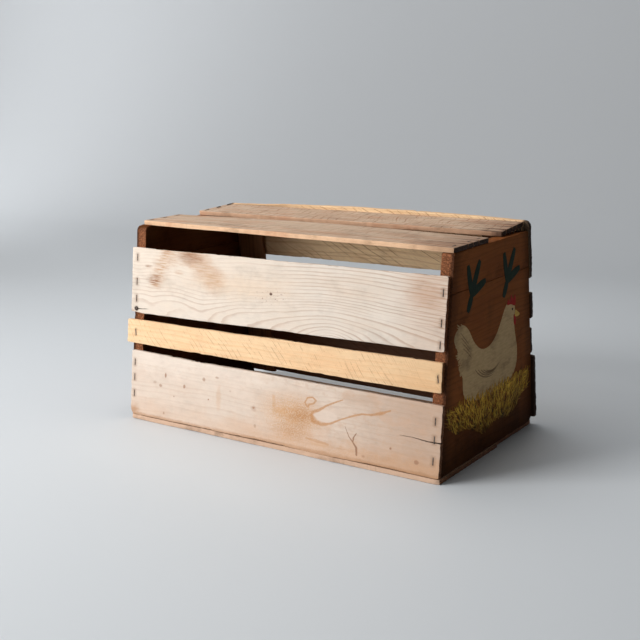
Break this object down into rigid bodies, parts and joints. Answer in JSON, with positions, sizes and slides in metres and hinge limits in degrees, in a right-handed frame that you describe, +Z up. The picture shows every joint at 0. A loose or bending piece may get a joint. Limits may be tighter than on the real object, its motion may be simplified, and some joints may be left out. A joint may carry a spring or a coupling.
{
  "type": "poultry transport crate",
  "caption": "Old wooden poultry crate: trapezoid end panels with slats nailed across front, top, back and floor, with air gaps between them.",
  "frame": {"origin": "middle of the crate's underside, on the plane it stands on", "axes": "+X along the crate to the right-hand end panel, -Y the front, +Z up"},
  "size_m": [0.577, 0.3113, 0.3259],
  "materials": {
    "front_slat_wood": "weathered bare pine, worn smooth, with stains and knots",
    "new_slat_wood": "newer yellow pine with diagonal saw marks",
    "top_slat_wood": "grey rough-sawn pine with diagonal saw marks and splits",
    "back_slat_wood": "rough-sawn pine",
    "end_panel_wood": "stained brown pine; a hand-painted hen on straw on the right panel",
    "floor_wood": "worn pine",
    "cleat_wood": "brown pine",
    "staple_steel": "rusted wire",
    "nail_steel": "rusted round-head nails"
  },
  "bodies": {
    "root": {"left_end_lower_board": "end_panel_wood", "left_end_upper_board": "end_panel_wood", "right_end_lower_board": "end_panel_wood", "right_end_upper_board": "end_panel_wood", "back_left_cleat": "cleat_wood", "back_right_cleat": "cleat_wood", "front_upper_slat": "front_slat_wood", "front_middle_slat": "new_slat_wood", "front_lower_slat": "front_slat_wood", "top_front_slat": "top_slat_wood", "top_back_slat": "top_slat_wood", "back_upper_slat": "back_slat_wood", "back_second_slat": "back_slat_wood", "back_third_slat": "back_slat_wood", "back_lower_slat": "back_slat_wood", "floor_front_board": "floor_wood", "floor_back_board": "floor_wood", "front_upper_staples": "staple_steel", "front_middle_staples": "staple_steel", "front_lower_staples": "staple_steel", "top_front_staples": "staple_steel", "top_back_staples": "staple_steel", "back_upper_staples": "staple_steel", "back_second_staples": "staple_steel", "back_third_staples": "staple_steel", "back_lower_staples": "staple_steel", "floor_front_staples": "staple_steel", "floor_back_staples": "staple_steel", "front_upper_nail": "nail_steel", "left_cleat_nails": "nail_steel", "right_cleat_nails": "nail_steel"}
  },
  "joints": []
}
